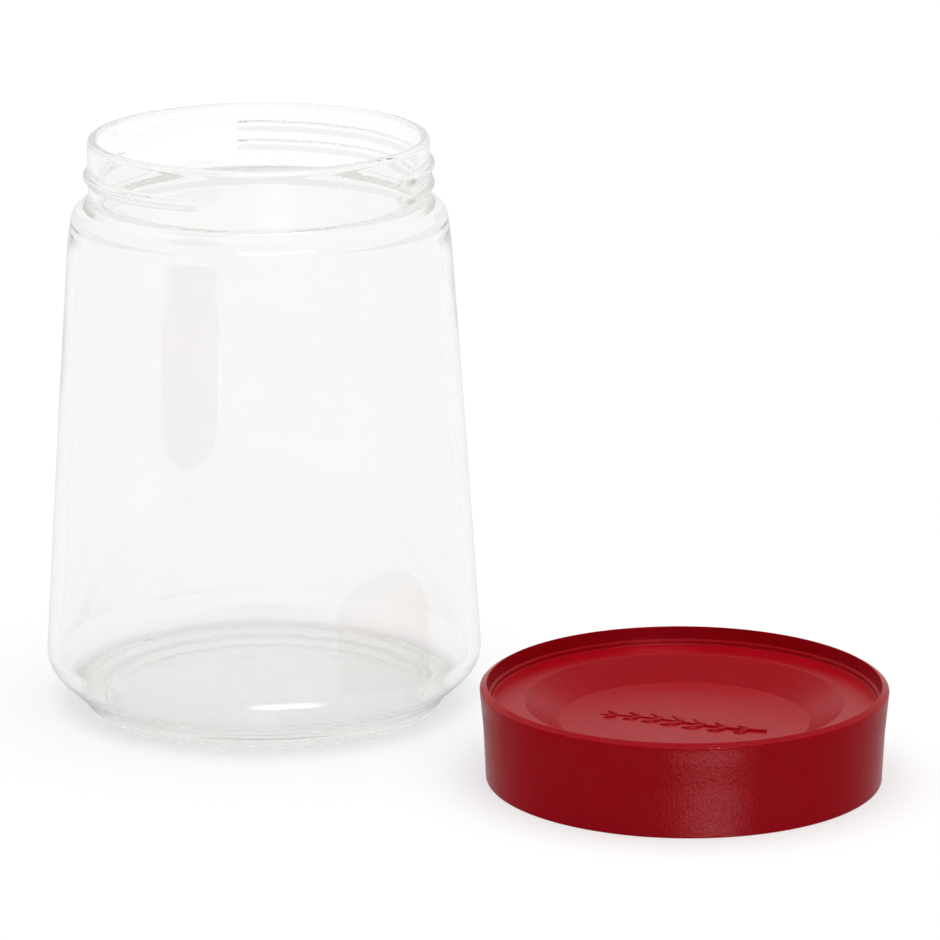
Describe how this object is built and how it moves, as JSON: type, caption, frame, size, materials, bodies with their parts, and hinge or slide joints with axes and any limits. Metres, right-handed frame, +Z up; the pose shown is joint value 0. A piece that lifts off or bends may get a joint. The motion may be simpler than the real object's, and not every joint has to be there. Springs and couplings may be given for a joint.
{
  "type": "yogurt jar with screw lid",
  "caption": "Tapered clear glass jar with a threaded neck, beside its red screw lid with a recessed stacking top; holds, sets and stores yogurt.",
  "frame": {"origin": "on the surface the jar and lid stand on, under the middle of the box that holds both", "axes": "+Z up along the jar's axis; +X from the jar towards the lid; -Y towards the front, the side the lid lies on"},
  "size_m": [0.2174, 0.1748, 0.15],
  "materials": {
    "clear_glass": "clear pressed glass, fire polished",
    "red_plastic": "satin injection moulded polypropylene",
    "white_rubber": "matt food-grade silicone"
  },
  "bodies": {
    "jar": {"jar": "clear_glass"},
    "seal": {"lid_seal": "white_rubber"},
    "lid": {"lid": "red_plastic"}
  },
  "joints": [
    {"name": "lid_lift", "type": "slide", "parent": "jar", "child": "seal", "axis": [0, 0, 1], "range_m": [0, 0.2]},
    {"name": "lid_turn", "type": "hinge", "parent": "seal", "child": "lid", "pos_m": [0.0574, -0.03615, 0], "axis": [0, 0, 1], "continuous": true}
  ]
}
